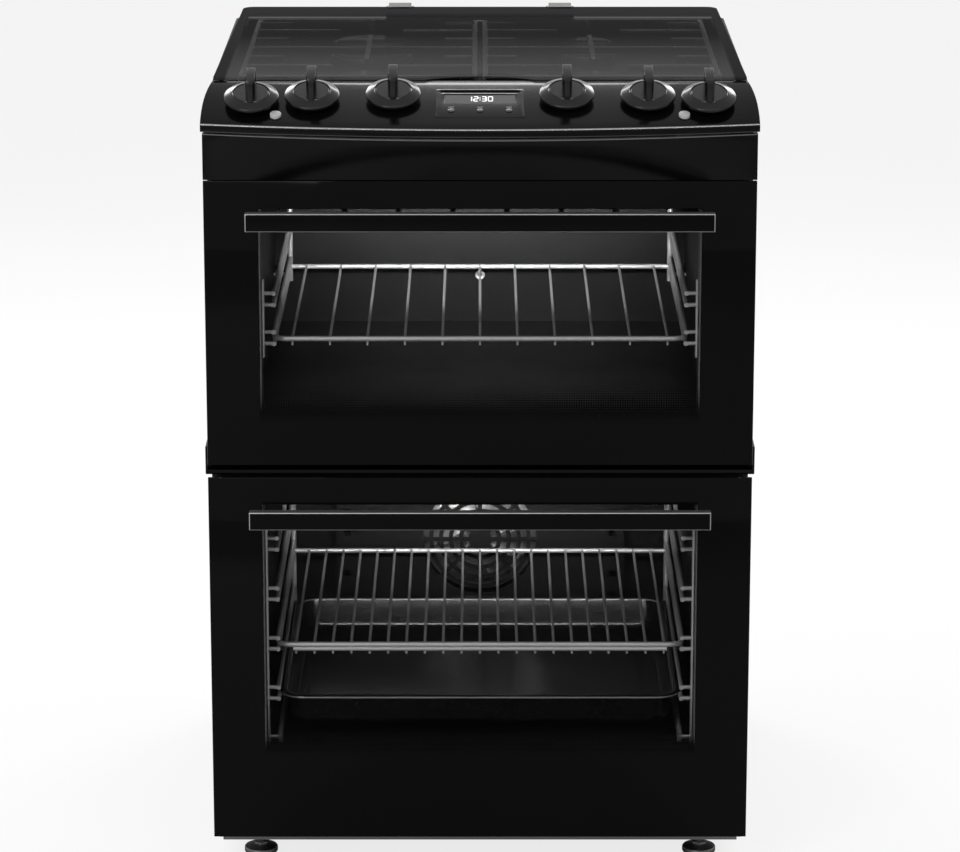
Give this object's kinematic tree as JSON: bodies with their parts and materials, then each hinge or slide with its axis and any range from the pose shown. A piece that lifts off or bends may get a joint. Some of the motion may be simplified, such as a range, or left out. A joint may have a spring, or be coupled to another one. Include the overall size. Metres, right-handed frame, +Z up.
{
  "type": "dual fuel range cooker",
  "caption": "Free-standing black cooker with a gas hob under a hinged smoked glass lid and two electric ovens behind drop-down glass doors with bar handles.",
  "frame": {"origin": "on the floor under the middle of the overall box, handles included", "axes": "+X to the right as seen from the front, +Y from front to back, +Z up"},
  "size_m": [0.6, 0.645, 0.9215],
  "materials": {
    "black_enamel": "gloss black vitreous enamel",
    "cavity_enamel": "speckled dark grey vitreous enamel",
    "black_paint": "satin black powder coat",
    "zinc_steel": "galvanised sheet steel",
    "dark_steel": "dark sheet steel",
    "black_glass": "black printed door glass with a clear window",
    "inner_glass": "clear oven glass",
    "smoked_glass": "smoked lid glass",
    "black_plastic": "gloss black plastic",
    "handle_black": "black anodised bar",
    "chrome_wire": "bright chromed wire",
    "cast_iron": "matt black enamelled cast iron",
    "burner_alloy": "cast aluminium",
    "brass": "machined brass",
    "element_steel": "dark oxidised element tube",
    "seal_rubber": "silicone rubber",
    "switch_plastic": "pale switch housing",
    "button_grey": "light grey button",
    "board_green": "circuit board housing"
  },
  "bodies": {
    "cabinet": {"side_panels": "black_paint", "rear_panel": "zinc_steel", "base_frame": "black_paint", "front_frame": "black_enamel", "upper_cavity": "cavity_enamel", "lower_cavity": "cavity_enamel", "door_divider": "black_plastic", "lower_trim": "black_enamel", "control_panel": "black_enamel", "clock_window": "black_plastic", "clock_module": "board_green", "hob_top": "black_enamel", "gas_valves": "brass", "gas_pipes": "burner_alloy", "burner_cups": "burner_alloy", "burner_crowns": "burner_alloy", "burner_caps": "black_enamel", "pan_supports": "cast_iron", "lid_bracket": "dark_steel", "door_seals": "seal_rubber", "side_racks": "chrome_wire", "fan_cover": "cavity_enamel", "fan_motor": "zinc_steel", "heating_elements": "element_steel", "oven_switches": "switch_plastic"},
    "lid": {"lid_glass": "smoked_glass", "lid_fittings": "black_plastic"},
    "upper_door": {"upper_door_glass": "black_glass", "upper_door_frame": "black_paint", "upper_door_inner_glass": "inner_glass", "upper_door_handle": "handle_black", "upper_door_hinges": "zinc_steel"},
    "lower_door": {"lower_door_glass": "black_glass", "lower_door_frame": "black_paint", "lower_door_inner_glass": "inner_glass", "lower_door_handle": "handle_black", "lower_door_hinges": "zinc_steel"},
    "upper_shelf": {"upper_shelf": "chrome_wire"},
    "lower_shelf": {"lower_shelf": "chrome_wire"},
    "roasting_pan": {"roasting_pan": "black_enamel"},
    "fan": {"fan_blade": "zinc_steel"},
    "oven_knob_left": {"oven_knob_left": "black_plastic"},
    "oven_knob_right": {"oven_knob_right": "black_plastic"},
    "gas_spindle_1": {"gas_spindle_1": "brass"},
    "gas_knob_1": {"gas_knob_1": "black_plastic"},
    "gas_spindle_2": {"gas_spindle_2": "brass"},
    "gas_knob_2": {"gas_knob_2": "black_plastic"},
    "gas_spindle_3": {"gas_spindle_3": "brass"},
    "gas_knob_3": {"gas_knob_3": "black_plastic"},
    "gas_spindle_4": {"gas_spindle_4": "brass"},
    "gas_knob_4": {"gas_knob_4": "black_plastic"},
    "spark_button": {"spark_button": "button_grey"},
    "light_button": {"light_button": "button_grey"},
    "clock_button_1": {"clock_button_1": "button_grey"},
    "clock_button_2": {"clock_button_2": "button_grey"},
    "clock_button_3": {"clock_button_3": "button_grey"},
    "foot_1": {"foot_1": "black_plastic"},
    "foot_2": {"foot_2": "black_plastic"},
    "foot_3": {"foot_3": "black_plastic"},
    "foot_4": {"foot_4": "black_plastic"}
  },
  "joints": [
    {"name": "upper_door_hinge", "type": "hinge", "parent": "cabinet", "child": "upper_door", "pos_m": [0, -0.2575, 0.5104], "axis": [1, 0, 0], "range_deg": [0, 90], "stiffness_Nm_per_rad": 2.5, "springref_deg": -17.19},
    {"name": "lower_door_hinge", "type": "hinge", "parent": "cabinet", "child": "lower_door", "pos_m": [0, -0.2575, 0.079], "axis": [1, 0, 0], "range_deg": [0, 90], "stiffness_Nm_per_rad": 3.5, "springref_deg": -17.19},
    {"name": "lid_hinge", "type": "hinge", "parent": "cabinet", "child": "lid", "pos_m": [0, 0.2965, 0.891], "axis": [-1, 0, 0], "range_deg": [0, 90]},
    {"name": "upper_shelf_slide", "type": "slide", "parent": "cabinet", "child": "upper_shelf", "axis": [0, -1, 0], "range_m": [0, 0.2]},
    {"name": "lower_shelf_slide", "type": "slide", "parent": "cabinet", "child": "lower_shelf", "axis": [0, -1, 0], "range_m": [0, 0.2]},
    {"name": "roasting_pan_slide", "type": "slide", "parent": "cabinet", "child": "roasting_pan", "axis": [0, -1, 0], "range_m": [0, 0.134]},
    {"name": "fan_spin", "type": "hinge", "parent": "cabinet", "child": "fan", "pos_m": [0, 0.1825, 0.265], "axis": [0, -1, 0], "continuous": true},
    {"name": "oven_knob_left_turn", "type": "hinge", "parent": "cabinet", "child": "oven_knob_left", "pos_m": [-0.245, -0.2515, 0.87999], "axis": [0, -0.3746, 0.9272], "range_deg": [-300, 0]},
    {"name": "oven_knob_right_turn", "type": "hinge", "parent": "cabinet", "child": "oven_knob_right", "pos_m": [0.245, -0.2515, 0.87999], "axis": [0, -0.3746, 0.9272], "range_deg": [-300, 0]},
    {"name": "gas_spindle_1_push", "type": "slide", "parent": "cabinet", "child": "gas_spindle_1", "axis": [0, 0.3746, -0.9272], "range_m": [0, 0.003], "stiffness_N_per_m": 2000, "springref_m": -0.001},
    {"name": "gas_knob_1_turn", "type": "hinge", "parent": "gas_spindle_1", "child": "gas_knob_1", "pos_m": [-0.18, -0.2515, 0.88214], "axis": [0, -0.3746, 0.9272], "range_deg": [0, 210]},
    {"name": "gas_spindle_2_push", "type": "slide", "parent": "cabinet", "child": "gas_spindle_2", "axis": [0, 0.3746, -0.9272], "range_m": [0, 0.003], "stiffness_N_per_m": 2000, "springref_m": -0.001},
    {"name": "gas_knob_2_turn", "type": "hinge", "parent": "gas_spindle_2", "child": "gas_knob_2", "pos_m": [-0.093, -0.2515, 0.88359], "axis": [0, -0.3746, 0.9272], "range_deg": [0, 210]},
    {"name": "gas_spindle_3_push", "type": "slide", "parent": "cabinet", "child": "gas_spindle_3", "axis": [0, 0.3746, -0.9272], "range_m": [0, 0.003], "stiffness_N_per_m": 2000, "springref_m": -0.001},
    {"name": "gas_knob_3_turn", "type": "hinge", "parent": "gas_spindle_3", "child": "gas_knob_3", "pos_m": [0.093, -0.2515, 0.88359], "axis": [0, -0.3746, 0.9272], "range_deg": [0, 210]},
    {"name": "gas_spindle_4_push", "type": "slide", "parent": "cabinet", "child": "gas_spindle_4", "axis": [0, 0.3746, -0.9272], "range_m": [0, 0.003], "stiffness_N_per_m": 2000, "springref_m": -0.001},
    {"name": "gas_knob_4_turn", "type": "hinge", "parent": "gas_spindle_4", "child": "gas_knob_4", "pos_m": [0.18, -0.2515, 0.88214], "axis": [0, -0.3746, 0.9272], "range_deg": [0, 210]},
    {"name": "spark_button_press", "type": "slide", "parent": "cabinet", "child": "spark_button", "axis": [0, 0.3746, -0.9272], "range_m": [0, 0.002], "stiffness_N_per_m": 800, "springref_m": -0.001},
    {"name": "light_button_press", "type": "slide", "parent": "cabinet", "child": "light_button", "axis": [0, 0.3746, -0.9272], "range_m": [0, 0.002], "stiffness_N_per_m": 800, "springref_m": -0.001},
    {"name": "clock_button_1_press", "type": "slide", "parent": "cabinet", "child": "clock_button_1", "axis": [0, 0.3217, -0.9468], "range_m": [0, 0.001], "stiffness_N_per_m": 800, "springref_m": -0.001},
    {"name": "clock_button_2_press", "type": "slide", "parent": "cabinet", "child": "clock_button_2", "axis": [0, 0.3217, -0.9468], "range_m": [0, 0.001], "stiffness_N_per_m": 800, "springref_m": -0.001},
    {"name": "clock_button_3_press", "type": "slide", "parent": "cabinet", "child": "clock_button_3", "axis": [0, 0.3217, -0.9468], "range_m": [0, 0.001], "stiffness_N_per_m": 800, "springref_m": -0.001},
    {"name": "foot_1_screw", "type": "slide", "parent": "cabinet", "child": "foot_1", "axis": [0, 0, -1], "range_m": [0, 0.02]},
    {"name": "foot_2_screw", "type": "slide", "parent": "cabinet", "child": "foot_2", "axis": [0, 0, -1], "range_m": [0, 0.02]},
    {"name": "foot_3_screw", "type": "slide", "parent": "cabinet", "child": "foot_3", "axis": [0, 0, -1], "range_m": [0, 0.02]},
    {"name": "foot_4_screw", "type": "slide", "parent": "cabinet", "child": "foot_4", "axis": [0, 0, -1], "range_m": [0, 0.02]}
  ],
  "couplings": [
    {"joint": "upper_shelf_slide", "follows": "upper_door_hinge", "m_per_rad": 0.127},
    {"joint": "lower_shelf_slide", "follows": "lower_door_hinge", "m_per_rad": 0.127},
    {"joint": "roasting_pan_slide", "follows": "lower_door_hinge", "m_per_rad": 0.085}
  ]
}
